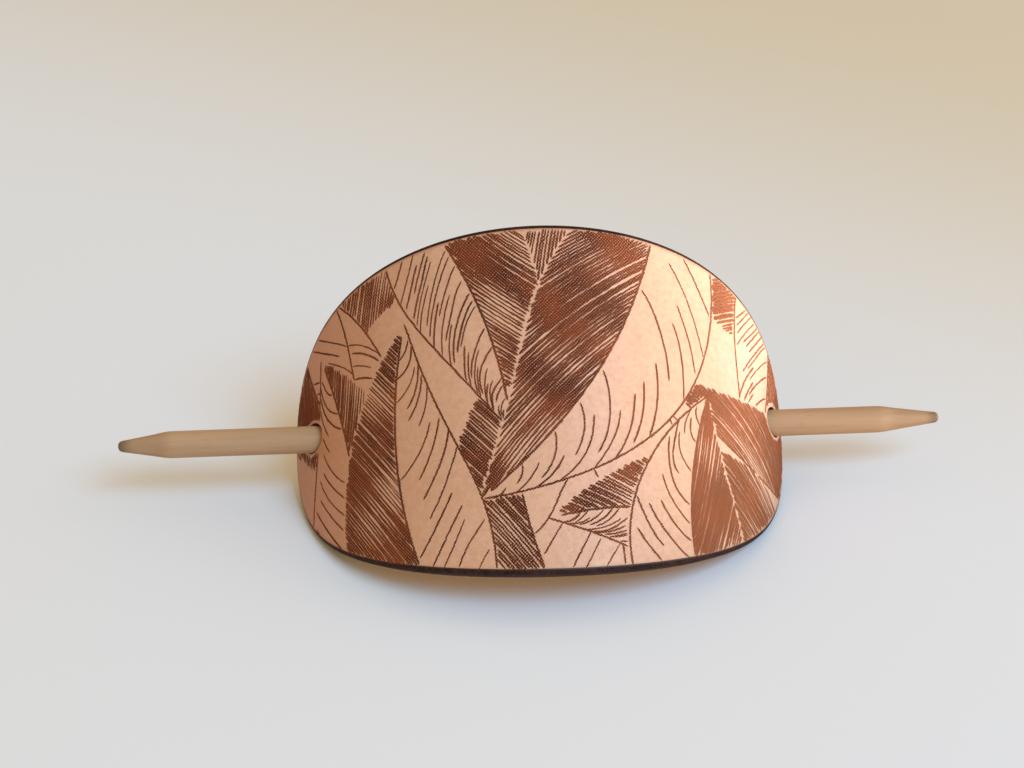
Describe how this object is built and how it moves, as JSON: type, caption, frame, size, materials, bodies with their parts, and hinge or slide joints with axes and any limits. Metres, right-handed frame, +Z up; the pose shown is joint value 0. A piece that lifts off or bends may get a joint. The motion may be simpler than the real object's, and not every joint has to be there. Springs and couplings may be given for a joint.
{
  "type": "leather hair barrette with stick",
  "caption": "Bent oval of thick leather, engraved with leaves, with a pointed round wooden stick through a hole near each end; lies on its front rim.",
  "frame": {"origin": "on the surface it lies on, under the middle of the whole object's box", "axes": "+X along the slide to its right end, +Y away from the front rim, +Z up as it lies"},
  "size_m": [0.1522, 0.0542, 0.0538],
  "materials": {
    "leather": "undyed vegetable-tanned grain, laser-engraved in dark brown, edges painted dark brown",
    "stick_wood": "pale sanded dowel, unvarnished"
  },
  "bodies": {
    "slide": {"leather_slide": "leather"},
    "stick": {"hair_stick": "stick_wood"}
  },
  "joints": [
    {"name": "stick_slides", "type": "slide", "parent": "slide", "child": "stick", "axis": [0.9991, 0.0409, -0.0122], "range_m": [-0.032, 0.036]}
  ]
}
